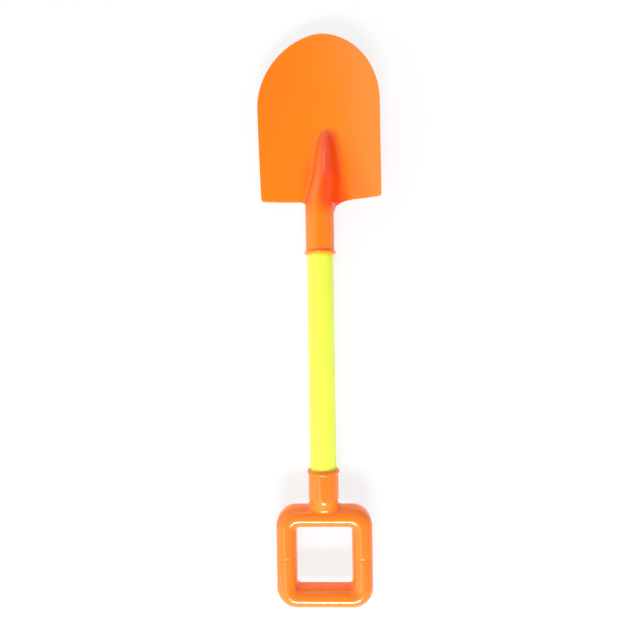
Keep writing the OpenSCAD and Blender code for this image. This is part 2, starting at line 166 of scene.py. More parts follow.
def smooth(mesh, degrees):
    """Smooth shading, with an edge kept sharp where the surface turns by more than this."""
    mesh.polygons.foreach_set("use_smooth", [True] * len(mesh.polygons))
    mesh.set_sharp_from_angle(angle=math.radians(degrees))
    mesh.update()


def mesh_of(bm, name):
    """The mesh of a bmesh that is finished with."""
    mesh = bpy.data.meshes.new(name)
    bm.to_mesh(mesh)
    bm.free()
    return mesh


def baked(thing, *tools):
    """The plain mesh that an object's modifiers make. The object and its tools are removed."""
    depsgraph = bpy.context.evaluated_depsgraph_get()
    mesh = bpy.data.meshes.new_from_object(thing.evaluated_get(depsgraph))
    thing.modifiers.clear()
    for used in (thing, *tools):
        bpy.data.objects.remove(used)
    return mesh


class Nodes:
    """Adds nodes to a tree, each with its settings and linked or plain inputs."""

    def __init__(self, tree):
        self.tree = tree
        self.column = 0

    def add(self, kind, inputs=None, **settings):
        node = self.tree.nodes.new(kind)
        node.location = (180 * self.column, 0)
        self.column += 1
        for name, value in settings.items():
            setattr(node, name, value)
        for key, value in (inputs or {}).items():
            socket = node.inputs[key]
            if isinstance(value, bpy.types.NodeSocket):
                self.tree.links.new(value, socket)
            elif isinstance(value, bpy.types.Node):
                self.tree.links.new(value.outputs[0], socket)
            else:
                socket.default_value = value
        return node

    def math(self, operation, *values):
        return self.add("ShaderNodeMath", dict(enumerate(values)), operation=operation).outputs[0]

    def apart(self, value, other):
        """The distance between two numbers."""
        return self.math("ABSOLUTE", self.math("SUBTRACT", value, other))

    def axes(self, vector):
        """The x, y and z of a vector."""
        return self.add("ShaderNodeSeparateXYZ", {0: vector}).outputs

    def vector(self, **numbers):
        """A vector with these numbers as its X, Y and Z, and 0 for one that isn't given."""
        return self.add("ShaderNodeCombineXYZ", numbers)

    def ramp(self, value, start, end, low=0.0, high=1.0, **settings):
        """A straight run from low at start to high at end."""
        numbers = {0: value, 1: start, 2: end, 3: low, 4: high}
        return self.add("ShaderNodeMapRange", numbers, **settings).outputs[0]

    def fade(self, value, start, end, low=0.0, high=1.0):
        """A smooth step from low at start to high at end, where end may be the smaller one."""
        if start > end:
            start, end, low, high = end, start, high, low
        return self.ramp(value, start, end, low, high, interpolation_type="SMOOTHSTEP")

    def noise(self, place, scale, detail, rough=0.5):
        inputs = {"Vector": place, "Scale": scale, "Detail": detail, "Roughness": rough}
        return self.add("ShaderNodeTexNoise", inputs).outputs[0]

    def bump(self, height, strength, distance, normal=None):
        inputs = {"Strength": strength, "Distance": distance, "Height": height}
        if normal is not None:
            inputs["Normal"] = normal
        return self.add("ShaderNodeBump", inputs).outputs[0]


def emptied(data):
    """The node helper of a new material or world, without the nodes that it starts with."""
    data.use_nodes = True
    data.node_tree.nodes.clear()
    return Nodes(data.node_tree)


def started(name, numbers, others=None):
    """A new geometry tree with these number inputs and others by kind, its node helper and its inputs."""
    tree = bpy.data.node_groups.new(name, "GeometryNodeTree")
    for given, kind in {**{number: "NodeSocketFloat" for number in numbers}, **(others or {})}.items():
        tree.interface.new_socket(given, in_out="INPUT", socket_type=kind)
    tree.interface.new_socket("Geometry", in_out="OUTPUT", socket_type="NodeSocketGeometry")
    n = Nodes(tree)
    return tree, n, n.add("NodeGroupInput").outputs


def finished(n, geometry, material):
    """Ends a geometry tree: real geometry in its material."""
    real = n.add("GeometryNodeRealizeInstances", {"Geometry": geometry})
    done = n.add("GeometryNodeSetMaterial", {"Geometry": real, "Material": material})
    n.add("NodeGroupOutput", {"Geometry": done})


def grown(name, tree, values):
    """The plain mesh that a geometry tree makes from these named inputs."""
    carrier = placed(name, bpy.data.meshes.new(name))
    modifier = carrier.modifiers.new(name, "NODES")
    modifier.node_group = tree
    sockets = {i.name: i.identifier for i in tree.interface.items_tree if i.in_out == "INPUT"}
    for key, value in values.items():
        modifier[sockets[key]] = value
    return baked(carrier)


# Materials

# Patterns of the plastics, in repeats per metre
CLOUD_SCALE = 28.0
WAVE_SCALE = 70.0
SCUFF_SCALE = 160.0
SPECK_SCALE = 900.0
# What the cloud does to the colour's value, and the scuffs to the roughness
CLOUD_SPAN = (0.3, 0.7)
CLOUD_VALUES = (0.975, 1.02)
SCUFF_SPAN = (0.35, 0.75)
SCUFF_CHANGES = (-0.02, 0.05)
# Heights in the surface, the depth that light reaches below it, and how strongly it bends light
WAVE_HEIGHT = 0.0004
SPECK_HEIGHT = 0.00005
DIP_DEPTH = 0.00011
GLOW_DEPTH = 0.003
GLOW_COLOURS = (1.0, 0.5, 0.1)
PLASTIC_IOR = 1.47


def ridge_painted_shade(n, place, x_low, y_low, x_high, y_high):
    """Painted shade, a deeper red: along this line beside the ridge, and a little on all its steep flanks.
    """
    # How far it reaches to each side of the line's two ends, and where it fades, from each end
    low_reach, high_reach = 0.0145, 0.0085
    begin, begun = -0.017, -0.004
    ending, ended = -0.008, 0.003
    # The shares of that reach at which it is full and gone, beside the line and on the flanks
    full_share, edge_share = 0.3, 1.0
    flank_full_share, flank_edge_share = 1.4, 2.2
    # How upright a surface looks where a flank begins and where it is full, and its share of the painted
    # shade
    flank_begin, flank_full = 0.97, 0.8
    flank_depth = 0.4

    x, y = n.axes(place)[:2]
    middle = n.ramp(y, y_low, y_high, x_low, x_high, clamp=False)
    reach = n.ramp(y, y_low, y_high, low_reach, high_reach, clamp=False)
    aside = n.math("DIVIDE", n.apart(x, middle), reach)
    upright = n.math("ABSOLUTE", n.axes(n.add("ShaderNodeNewGeometry").outputs["Normal"])[2])
    steep = n.fade(upright, flank_begin, flank_full)
    flank = n.math("MULTIPLY", steep, n.fade(aside, flank_edge_share, flank_full_share))
    most = n.math("MAXIMUM", n.fade(aside, edge_share, full_share), n.math("MULTIPLY", flank, flank_depth))
    low_end = n.fade(y, y_low + begin, y_low + begun)
    high_end = n.fade(y, y_high + ended, y_high + ending)
    return n.math("MULTIPLY", most, n.math("MULTIPLY", low_end, high_end))


def mouth_painted_bounce(n, place, mouths):
    """Painted bounce light: the tube takes the orange of light bounced from the two sockets, just outside
    their mouths, given by y.
    """
    reach, full = 0.0032, 0.0002
    y = n.axes(place)[1]
    return n.fade(n.math("MINIMUM", *[n.apart(y, mouth) for mouth in mouths]), reach, full)


def rib_dips(n, place, x, y, top):
    """The shallow dip across each bar of a loop, over the rib behind it.

    (x, y) is the loop's middle, and nothing above top is marked.
    """
    half_width, run_out = 0.0013, 0.003
    axes = n.axes(place)
    dip = n.fade(n.math("MINIMUM", n.apart(axes[0], x), n.apart(axes[1], y)), 0.0, half_width)
    return n.math("MAXIMUM", dip, n.fade(axes[1], top, top + run_out))


def moulded_plastic(
    name, base, roughness=0.15, flow=(1.0, 1.0, 1.0), glow=0.06, painted_colour=None, painted_light=None, dips=None
):
    """Gloss moulded plastic: a faint cloud in its colour, soft waviness and fine scuffs in its surface.

    flow stretches the patterns along the way that the plastic ran, and glow is the share of light
    that goes into its skin. Where painted_light(nodes, place) is 1 the painted colour takes over:
    painted shade on the blade and painted bounce light on the tube.
    dips(nodes, place) is a height that presses shallow marks into the surface.
    """
    mat = bpy.data.materials.new(name)
    n = emptied(mat)
    place = n.add("ShaderNodeTexCoord").outputs["Object"]
    dye_and_painted_light = (*base, 1.0)
    # Painted light: where its mask is 1, the painted colour replaces the dye (painted shade on the blade,
    # painted bounce light on the tube)
    if painted_light:
        colours = {0: painted_light(n, place), 6: dye_and_painted_light, 7: (*painted_colour, 1.0)}
        dye_and_painted_light = n.add("ShaderNodeMix", colours, data_type="RGBA").outputs[2]
    stretched = n.add("ShaderNodeMapping", {"Vector": place, "Scale": flow}).outputs[0]
    cloud = n.noise(stretched, CLOUD_SCALE, detail=3.0, rough=0.55)
    value = n.ramp(cloud, *CLOUD_SPAN, *CLOUD_VALUES)
    tint = n.add("ShaderNodeHueSaturation", {"Value": value, "Color": dye_and_painted_light})
    scuffs = n.noise(stretched, SCUFF_SCALE, detail=6.0, rough=0.7)
    gloss = n.ramp(scuffs, *SCUFF_SPAN, *[roughness + change for change in SCUFF_CHANGES])
    normal = n.bump(n.noise(stretched, WAVE_SCALE, detail=2.0), strength=0.05, distance=WAVE_HEIGHT)
    if dips:
        normal = n.bump(dips(n, place), strength=1.0, distance=DIP_DEPTH, normal=normal)
    specks = n.noise(place, SPECK_SCALE, detail=2.0)
    normal = n.bump(specks, strength=0.04, distance=SPECK_HEIGHT, normal=normal)
    surface = n.add(
        "ShaderNodeBsdfPrincipled",
        {
            "Base Color": tint,
            "Roughness": gloss,
            "IOR": PLASTIC_IOR,
            "Subsurface Weight": glow,
            "Subsurface Scale": GLOW_DEPTH,
            "Subsurface Radius": GLOW_COLOURS,
            "Normal": normal,
        },
    )
    n.add("ShaderNodeOutputMaterial", {"Surface": surface})
    return mat


# Blade

# The chamfer inside the mouth of both sockets
MOUTH_CHAMFER = 0.00035

Section = namedtuple("Section", "crown turn crown_end flank_end foot_end foot_u foot")


def soft_step(t):
    t = min(1.0, max(0.0, t))
    return t * t * (3 - 2 * t)


def spread(low, high, count, ease=1.0):
    """Places after low up to high, closer together towards high where ease is more than 1."""
    return [low + (high - low) * (1 - (1 - k / count) ** ease) for k in range(1, count + 1)]


class BladeForm:
    """The blade's sections, square to the tube.

    v runs from the shoulders to the tip, u across from the tube's axis and z up from it.
    Columns are counted from the middle outwards, to the left below 0.
    """

    nose_long_share = 1.88
    nose_wide_share = 1.8
    neck_start_share = 0.9
    neck_level_share = 0.17
    neck_side_share = 1.07
    crest_bow_share = 1.9
    lean_share = 0.45

    # The last column of the crown, the flank, the foot, the band beside the ridge and the sheet
    crown_n = 14
    flank_n = 19
    foot_n = 30
    band_n = 36
    edge_n = 50
    # Least shares of the band for the crown, the flank and the foot, the share at which the foot ends at
    # most, and how fast the columns even out past the ridge
    least_crown_share = 0.06
    least_flank_share = 0.04
    least_foot_share = 0.12
    most_foot_share = 0.98
    evening_rate = 3

    # Rows along the blade. The start shares place those between the hollow's start and the shoulders
    lip_rows = 15
    fillet_rows = 4
    socket_rows = 4
    neck_rows = 14
    back_rows = 2
    start_shares = (0.86, 0.72, 0.58, 0.45, 0.33, 0.22, 0.12)
    ridge_rows = 34
    ridge_ease = 1.8
    straight_rows = 6
    nose_rows = 26

    # A ring this deep in the bore, the fillet between lip and socket, and the step where the hollow starts
    bore_ring = 0.004
    lip_fillet = 0.0003
    stop_step = 0.0004

    def __init__(self, sizes, bore_r):
        self.s = sizes
        self.bore_r = bore_r
        self.socket_r = bore_r + sizes.socket_wall
        self.half_w = sizes.width / 2
        self.straight = sizes.length - sizes.nose
        self.slope = 2 * sizes.rise / sizes.length
        self.hollow = -sizes.socket + sizes.seat + sizes.stop

    def nose_share(self, v):
        """The half width at v as a share of the straight part's."""
        if v <= self.straight:
            return 1.0
        t = min(1.0, (v - self.straight) / self.s.nose)
        return (1 - t**self.nose_long_share) ** (1 / self.nose_wide_share)

    def edge_u(self, v):
        """Half the width at v, with the rounded corner of the shoulders."""
        c = self.s.corner
        if v < c:
            return self.half_w - c + math.sqrt(max(0.0, c * c - (c - v) ** 2))
        return self.half_w * self.nose_share(v)

    def neck_w(self, side):
        return self.s.left_neck if side < 0 else self.s.right_neck

    def band_u(self, v, side):
        """How far out the band beside the ridge goes. Below the shoulders it is the neck's outline."""
        wide = self.neck_w(side)
        if v >= 0:
            return wide * self.nose_share(v)
        start, mid = self.neck_start_share * self.socket_r, self.neck_side_share * self.socket_r
        t = 2 * (1 + v / self.s.neck)
        sweep = 1 - math.sqrt(max(0.0, 1 - max(0.0, t - 1) ** 2))
        return start + (mid - start) * soft_step(t) + (wide - mid) * sweep

    def keel_z(self, v):
        """Height of the middle of the wall, along the blade's middle line."""
        s = self.s
        if v >= 0:
            return -s.keel + s.rise * (1 - (1 - v / s.length) ** 2)
        level = s.keel - self.neck_level_share * self.socket_r + self.slope * s.neck
        return -s.keel + self.slope * v + level * (v / s.neck) ** 2

    def dish_z(self, v, u):
        """How far the dish lifts the sheet at u."""
        return self.s.dish * (u / self.half_w) ** 2 * min(1.0, max(0.0, 1 + v / self.s.neck))

    def ridge_share(self, v):
        return max(0.0, (v + self.s.ridge_back) / (self.s.ridge + self.s.ridge_back))

    def crest_z(self, v):
        """The crest bows down to the sheet and eases into it."""
        sheet = self.keel_z(v) + self.s.wall / 2
        end = self.keel_z(self.s.ridge) + self.s.wall / 2
        above = self.socket_r - (self.socket_r - end) * self.ridge_share(v) ** self.crest_bow_share - sheet
        ease = self.s.ease
        if above > ease:
            return sheet + above
        return sheet + (0.0 if above < -ease else (above + ease) ** 2 / (4 * ease))

    def leaned(self, v, u):
        """Place across the blade once the ridge leans. The edges keep their places."""
        share = soft_step(self.ridge_share(v) / self.lean_share)
        return u + self.s.lean * share * (self.edge_u(v) ** 2 - u * u) / self.half_w**2

    def section(self, v, side):
        """The crown's arc, the straight flank and the foot's arc on one side, as a Section.

        It holds the crown's radius, the turn of both arcs, the path's length where the crown, the
        flank and the foot end, the foot's distance from the middle, and the foot's radius.
        """
        t = min(1.0, self.ridge_share(v))
        crown = self.socket_r * (1 - t) + self.s.ridge_end * t
        foot = self.s.left_foot if side < 0 else self.s.right_foot
        rise = max(0.0, self.crest_z(v) - self.keel_z(v) - self.s.wall / 2)
        steep = math.pi / 2 - self.s.draft
        arcs = (crown + foot) * (1 - math.cos(steep))
        turn = math.acos(1 - rise / (crown + foot)) if rise < arcs else steep
        flank = 0.0 if rise < arcs else (rise - arcs) / math.sin(steep)
        crown_end = crown * turn
        flank_end = crown_end + flank
        foot_end = flank_end + foot * turn
        foot_u = (crown + foot) * math.sin(turn) + flank * math.cos(turn)
        return Section(crown, turn, crown_end, flank_end, foot_end, foot_u, foot)

    def path_at(self, cut, u):
        """Path length along a section at the distance u from the middle."""
        crown_u = cut.crown * math.sin(cut.turn)
        if u < crown_u:
            return cut.crown * math.asin(u / cut.crown)
        if u < cut.foot_u - cut.foot * math.sin(cut.turn):
            return cut.crown_end + (u - crown_u) / math.cos(cut.turn)
        if u < cut.foot_u:
            return cut.foot_end - cut.foot * math.asin((cut.foot_u - u) / cut.foot)
        return cut.foot_end + u - cut.foot_u

    def slope_at(self, cut, p):
        """How far the section has turned down at a path length."""
        if p < cut.crown_end:
            return p / cut.crown
        if p < cut.flank_end:
            return cut.turn
        return (cut.foot_end - p) / cut.foot if p < cut.foot_end else 0.0

    def place_at(self, cut, p):
        """(u, fall below the crest) at a path length."""
        a = self.slope_at(cut, p)
        sine, cosine = math.sin(cut.turn), math.cos(cut.turn)
        if p < cut.crown_end:
            return cut.crown * math.sin(a), cut.crown * (1 - math.cos(a))
        u, fall = cut.crown * sine, cut.crown * (1 - cosine)
        if p < cut.flank_end:
            return u + (p - cut.crown_end) * cosine, fall + (p - cut.crown_end) * sine
        flank = cut.flank_end - cut.crown_end
        u, fall = u + flank * cosine, fall + flank * sine
        if p < cut.foot_end:
            return u + cut.foot * (sine - math.sin(a)), fall + cut.foot * (math.cos(a) - cosine)
        return u + cut.foot * sine + p - cut.foot_end, fall + cut.foot * (1 - cosine)

    def column_path(self, cut, v, side, j):
        """Path length at which column j lies, 0 being the middle one."""
        inner = self.path_at(cut, self.band_u(v, side))
        full = cut.foot_end + max(0.0, self.neck_w(side) - cut.foot_u) if v < 0 else inner
        crown = max(cut.crown_end, self.least_crown_share * full)
        flank = max(cut.flank_end, crown + self.least_flank_share * full)
        foot = min(self.most_foot_share * full, max(cut.foot_end, flank + self.least_foot_share * full))
        k = min(j, self.band_n)
        columns = (0, self.crown_n, self.flank_n, self.foot_n, self.band_n)
        marks = list(zip(columns, (0.0, crown, flank, foot, full)))
        for (low_n, low), (high_n, high) in zip(marks, marks[1:]):
            if k <= high_n:
                p = low + (high - low) * (k - low_n) / (high_n - low_n)
                break
        past_ridge = max(0.0, v - self.s.ridge) / (self.s.length - self.s.ridge)
        even = min(1.0, past_ridge * self.evening_rate)
        p = (p * (1 - even) + even * full * k / self.band_n) * inner / full
        if j <= self.band_n:
            return p
        edge = self.path_at(cut, self.edge_u(v))
        return inner + (edge - inner) * (j - self.band_n) / (self.edge_n - self.band_n)

    def column_at(self, v, side, j):
        """Column j of one side of a section: how far it has turned down there, and its (u, fall)."""
        cut = self.section(v, side)
        p = self.column_path(cut, v, side, j)
        return self.slope_at(cut, p), *self.place_at(cut, p)

    def face(self, v, j):
        """A point of the scooping side."""
        w = max(v, -self.s.neck)
        _, out, fall = self.column_at(w, j, abs(j))
        u = self.leaned(w, math.copysign(out, j))
        return Vector((u, v, self.crest_z(w) - fall + self.dish_z(w, u)))

    def sheet_back(self, v, j):
        """A point of the back, one wall behind the face."""
        a, out, fall = self.column_at(v, j, abs(j))
        wall = self.s.wall
        u = self.leaned(v, math.copysign(out - wall * math.sin(a), j))
        lift = self.dish_z(v, self.leaned(v, math.copysign(out, j)))
        return Vector((u, v, self.crest_z(v) - fall + lift - wall * math.cos(a)))

    def neck_edge(self, v, side):
        """Where the filled back of the neck meets its edge, as (u, z). It never lies inside the socket."""
        w = max(v, -self.s.neck)
        slope, out, fall = self.column_at(w, side, self.band_n)
        turned = min(1.0, (w + self.s.neck) / (self.s.neck - self.s.ridge_back))
        a = slope + turned * math.pi / 2
        wall = self.s.wall
        lift = self.dish_z(w, self.leaned(w, math.copysign(out, side)))
        u = out + wall * math.cos(a)
        z = self.crest_z(w) - fall + lift - wall * math.sin(a)
        far = self.socket_r / math.hypot(u, z)
        share = max(far, turned + (1 - turned) * far)
        return u * share, z * share

    def filled_back(self, v, j):
        """A point of the solid back: round the socket, then straight out to the neck's edge."""
        u, z = self.neck_edge(v, j)
        r = self.socket_r
        touch = math.atan2(u, -z) - math.acos(min(1.0, r / math.hypot(u, z)))
        start_u, start_z = r * math.sin(touch), -r * math.cos(touch)
        run = math.hypot(u - start_u, z - start_z)
        p = (r * touch + run) * abs(j) / self.band_n
        if p <= r * touch or run == 0:
            out, height = r * math.sin(p / r), -r * math.cos(p / r)
        else:
            t = (p - r * touch) / run
            out, height = start_u + (u - start_u) * t, start_z + (z - start_z) * t
        return Vector((self.leaned(v, math.copysign(out, j)), v, height))

    def back(self, v, j):
        return self.filled_back(v, j) if v <= self.hollow else self.sheet_back(v, j)

    def nose_place(self, j, t):
        """Where column j of the nose's row t lies: a square grid drawn out to the nose's rounded outline."""
        start = self.face(self.straight, j)
        x = abs(start[0] / self.half_w) ** (self.nose_wide_share / 2)
        u = self.half_w * (x * math.sqrt(1 - t * t / 2)) ** (2 / self.nose_wide_share)
        v = self.straight + self.s.nose * (t * math.sqrt(1 - x * x / 2)) ** (2 / self.nose_long_share)
        z = self.keel_z(v) + self.s.wall / 2 + self.dish_z(v, u)
        return Vector((math.copysign(u, start[0]), v, z))

    def socket_rings(self):
        """(v, radius) of the rings from the bore's end out over the rolled lip and along the socket."""
        mouth, lip, fillet = -self.s.socket, self.s.lip, self.lip_fillet
        rings = [(mouth + self.s.seat, self.bore_r), (mouth + self.bore_ring, self.bore_r)]
        rings += [(mouth + MOUTH_CHAMFER, self.bore_r), (mouth, self.bore_r + MOUTH_CHAMFER)]
        for k in range(self.lip_rows):
            a = math.radians(-90 + 180 * k / self.lip_rows)
            rings.append((mouth + lip + lip * math.sin(a), self.socket_r + lip * math.cos(a)))
        lip_top = mouth + 2 * lip + fillet
        for k in range(1, self.fillet_rows + 1):
            a = math.radians(90 * k / self.fillet_rows)
            rings.append((lip_top + fillet * (1 - math.cos(a)), self.socket_r + fillet * (1 - math.sin(a))))
        for v in spread(lip_top + 2 * fillet, -self.s.neck - 2 * fillet, self.socket_rows):
            rings.append((v, self.socket_r))
        return rings

    def neck_places(self):
        s = self.s
        places = [-s.neck, *spread(-s.neck, -s.ridge_back, self.neck_rows)]
        places += spread(-s.ridge_back, self.hollow, self.back_rows)
        return places + [self.hollow + self.stop_step] + [self.hollow * share for share in self.start_shares]

    def sheet_places(self):
        s = self.s
        places = [0.0, s.corner * (1 - math.sqrt(0.5)), s.corner]
        places += spread(s.corner, s.ridge, self.ridge_rows, self.ridge_ease)
        return places + spread(s.ridge, self.straight, self.straight_rows)


def blade_mesh(sizes, bore_r):
    """One closed skin: lip and bore, socket, neck, sheet with its ridge, and nose."""
    f = BladeForm(sizes, bore_r)
    band = range(-f.band_n, f.band_n + 1)
    whole = range(-f.edge_n, f.edge_n + 1)
    bm = bmesh.new()
    rows = []

    def row(*sides):
        """Add the points of a row's face and of its back."""
        rows.append([[bm.verts.new(p) for p in side] for side in sides])

    def on_circle(p, v, r):
        a = math.atan2(p[0], p[2])
        return Vector((r * math.sin(a), v, r * math.cos(a)))

    for v, r in f.socket_rings():
        sides = ([form(-sizes.neck, j) for j in band] for form in (f.face, f.filled_back))
        row(*[[on_circle(p, v, r) for p in side] for side in sides])
    for v in f.neck_places():
        row([f.face(v, j) for j in band], [f.back(v, j) for j in band])
    first_sheet = len(rows)
    for v in f.sheet_places():
        row([f.face(v, j) for j in whole], [f.sheet_back(v, j) for j in whole])
    drop = Vector((0, 0, sizes.wall))
    for k in range(1, f.nose_rows + 1):
        points = [f.nose_place(j, k / f.nose_rows) for j in whole]
        row(points, [p - drop for p in points])
    last = len(rows) - 1

    def corner(side, r, j):
        line = rows[r][side]
        return line[j + (len(line) - 1) // 2]

    def close(start, end, flipped):
        """Join the face to the back from one (row, column) to the next, and return the two edges."""
        front, behind = [(corner(side, *start), corner(side, *end)) for side in (0, 1)]
        ring = (*front, *reversed(behind))
        bm.faces.new(ring[::-1] if flipped else ring)
        return [front, behind]

    rim = []
    for r in range(last):
        out = f.band_n if r < first_sheet else f.edge_n
        for j in range(-out, out):
            for side in (0, 1):
                ring = [corner(side, *at) for at in ((r, j), (r, j + 1), (r + 1, j + 1), (r + 1, j))]
                bm.faces.new(ring[::-1] if side else ring)
        for side in (-1, 1):
            edges = close((r, side * out), (r + 1, side * out), flipped=side < 0)
            if r >= first_sheet:
                rim += edges
    for j in (*range(-f.edge_n, -f.band_n), *range(f.band_n, f.edge_n)):
        rim += close((first_sheet, j), (first_sheet, j + 1), flipped=True)
    for j in range(-f.edge_n, f.edge_n):
        rim += close((last, j), (last, j + 1), flipped=False)

    bore_ring = rows[0][0] + rows[0][1][::-1]
    centre = bm.verts.new((0, sizes.seat - sizes.socket, 0))
    for a, b in zip(bore_ring, bore_ring[1:] + bore_ring[:1]):
        bm.faces.new((a, centre, b))
    bmesh.ops.recalc_face_normals(bm, faces=bm.faces)
    edges = [edge for edge in map(bm.edges.get, rim) if edge]
    bmesh.ops.bevel(
        bm, geom=edges, offset=sizes.rim, segments=3, profile=0.5, affect="EDGES", clamp_overlap=False
    )
    mesh = mesh_of(bm, "blade_skin")
    place = Matrix.Translation((AXIS_X, TIP_Y - sizes.length, AXIS_Z))
    mesh.transform(place @ Matrix.Rotation(-sizes.turn, 4, "Y"))
    smooth(mesh, degrees=38)
    return mesh


class SHOVEL_OT_blade(bpy.types.Operator):
    """Build the blade: the socket with its rolled lip, and the dished sheet with its hollow ridge"""

    bl_idname = "shovel.blade"
    bl_label = "Blade"

    def execute(self, context):
        scene = context.scene
        s = scene.shovel_blade
        mesh = blade_mesh(s, TUBE_R + scene.shovel_tube.fit)
        shoulders = TIP_Y - s.length
        # The painted shade beside the ridge runs along this line, from right of the socket at the shoulders
        # to right of the crest at its end
        right_of_socket, right_of_crest = 0.0095, 0.0025
        line = (AXIS_X + right_of_socket, shoulders, AXIS_X + s.lean + right_of_crest, shoulders + s.ridge)
        material = moulded_plastic(
            "orange_blade_plastic",
            scene.shovel_finish.blade,
            painted_colour=scene.shovel_finish.ridge,
            painted_light=lambda n, place: ridge_painted_shade(n, place, *line),
        )
        mesh.materials.append(material)
        add_piece("blade_skin", mesh, "blade")
        return {"FINISHED"}


# Tube


def tube_tree(material, steps=9):
    """A round pipe along a straight line, outside and bore."""
    ends = {"Start": "NodeSocketVector", "End": "NodeSocketVector"}
    tree, n, given = started("tube_along_line", ("Radius", "Wall"), {**ends, "Around": "NodeSocketInt"})
    line = n.add("GeometryNodeCurvePrimitiveLine", {end: given[end] for end in ends})
    line = n.add("GeometryNodeResampleCurve", {"Curve": line, "Count": steps})
    shells = []
    for radius in (given["Radius"], n.math("SUBTRACT", given["Radius"], given["Wall"])):
        circle = n.add("GeometryNodeCurvePrimitiveCircle", {"Resolution": given["Around"], "Radius": radius})
        shells.append(n.add("GeometryNodeCurveToMesh", {"Curve": line, "Profile Curve": circle}))
    bore = n.add("GeometryNodeFlipFaces", {"Mesh": shells[1]})
    both = n.add("GeometryNodeJoinGeometry")
    for shell in (shells[0], bore):
        tree.links.new(shell.outputs[0], both.inputs[0])
    finished(n, both, material)
    return tree


class SHOVEL_OT_tube(bpy.types.Operator):
    """Build the straight tube between the two sockets"""

    bl_idname = "shovel.tube"
    bl_label = "Tube"

    def execute(self, context):
        scene = context.scene
        sizes = scene.shovel_tube
        blade = scene.shovel_blade
        mouths = (TIP_Y - blade.length - blade.socket, GRIP_END_Y + scene.shovel_grip.length)
        # Painted bounce light from the sockets tints the tube orange just outside their mouths
        material = moulded_plastic(
            "neon_tube_plastic",
            scene.shovel_finish.tube,
            roughness=0.34,
            flow=(1.0, 0.12, 1.0),
            glow=0.5,
            painted_colour=scene.shovel_finish.mouths,
            painted_light=lambda n, place: mouth_painted_bounce(n, place, mouths),
        )
        mesh = grown(
            "tube_skin",
            tube_tree(material),
            {
                "Start": (AXIS_X, TUBE_ENDS[0], AXIS_Z),
                "End": (AXIS_X, TUBE_ENDS[1], AXIS_Z),
                "Radius": TUBE_R,
                "Wall": sizes.wall,
                "Around": sizes.around,
            },
        )
        bm = bmesh.new()
        bm.from_mesh(mesh)
        open_edges = [e for e in bm.edges if e.is_boundary]
        for side in (-1, 1):
            bmesh.ops.bridge_loops(bm, edges=[e for e in open_edges if e.verts[0].co.y * side > 0])
        bmesh.ops.recalc_face_normals(bm, faces=bm.faces)
        bm.to_mesh(mesh)
        bm.free()
        smooth(mesh, degrees=40)
        add_piece("tube_skin", mesh, "shaft_tube")
        return {"FINISHED"}


# Grip

# How far a cutter runs past what it cuts, and how close points are that become one
OVERRUN = 0.001
WELD = 0.00001


def loop_tree(material, corner_n=28, round_n=48, side_n=4, back_n=6, seam=0.000002):
    """A closed bar round a rounded square: half-round in front, with straight sides and a flat back.

    A grid's long way runs round the square and its short way round the bar's section.
    """
    tree, n, given = started(
        "rounded_square_bar", ("Width", "Height", "Bar", "Outer Corner", "Inner Corner", "Drop")
    )
    quarter_n = float(corner_n + 1)
    stations = 4 * (corner_n + 1)
    steps = 2 * side_n + round_n + back_n
    grid = n.add(
        "GeometryNodeMeshGrid",
        {"Size X": 1.0, "Size Y": 1.0, "Vertices X": stations + 1, "Vertices Y": steps + 1},
    )
    place = n.axes(n.add("GeometryNodeInputPosition"))
    i = n.math("ROUND", n.math("MULTIPLY_ADD", place[0], float(stations), stations / 2))
    k = n.math("ROUND", n.math("MULTIPLY_ADD", place[1], float(steps), steps / 2))
    quarter = n.math("FLOOR", n.math("DIVIDE", n.math("ADD", i, 0.5), quarter_n))
    past = n.math("SUBTRACT", i, n.math("MULTIPLY", quarter, quarter_n))
    turn = n.math("MULTIPLY", n.math("ADD", quarter, n.math("DIVIDE", past, float(corner_n))), math.pi / 2)
    middle = n.math("MULTIPLY", n.math("ADD", quarter, 0.5), math.pi / 2)

    def share(first, count):
        """How far the step k is through these steps, from 0 to 1."""
        part = n.math("DIVIDE", n.math("SUBTRACT", k, float(first)), float(count))
        return n.add("ShaderNodeClamp", {0: part, 1: 0.0, 2: 1.0}).outputs[0]

    round_turn = n.math("MULTIPLY", share(side_n, round_n), math.pi)
    outer_side = n.math("SUBTRACT", 1.0, share(0, side_n))
    inner_side = share(side_n + round_n, side_n)
    back = share(2 * side_n + round_n, back_n)
    across = n.math("ADD", n.math("COSINE", round_turn), n.math("MULTIPLY", back, 2.0))
    half = n.math("MULTIPLY", given["Bar"], 0.5)
    low = n.math("MULTIPLY", n.math("MAXIMUM", outer_side, inner_side), given["Drop"])
    height = n.math("SUBTRACT", n.math("MULTIPLY", half, n.math("SINE", round_turn)), low)
    flat = []
    for size, wave in (("Width", "COSINE"), ("Height", "SINE")):
        side = n.math("SIGN", n.math(wave, middle))
        reach = n.math("MULTIPLY", given[size], 0.5)
        rims = []
        for inset, corner in ((0.0, given["Outer Corner"]), (given["Bar"], given["Inner Corner"])):
            centre = n.math("SUBTRACT", n.math("SUBTRACT", reach, inset), corner)
            rounded = n.math("MULTIPLY", corner, n.math(wave, turn))
            rims.append(n.math("ADD", n.math("MULTIPLY", side, centre), rounded))
        mean = n.math("MULTIPLY", n.math("ADD", *rims), 0.5)
        apart = n.math("MULTIPLY", n.math("SUBTRACT", *rims), 0.5)
        flat.append(n.math("MULTIPLY_ADD", apart, across, mean))
    at = n.vector(X=flat[0], Y=flat[1], Z=height)
    shaped = n.add("GeometryNodeSetPosition", {"Geometry": grid, "Position": at})
    welded = n.add("GeometryNodeMergeByDistance", {"Geometry": shaped, "Distance": seam})
    finished(n, welded, material)
    return tree


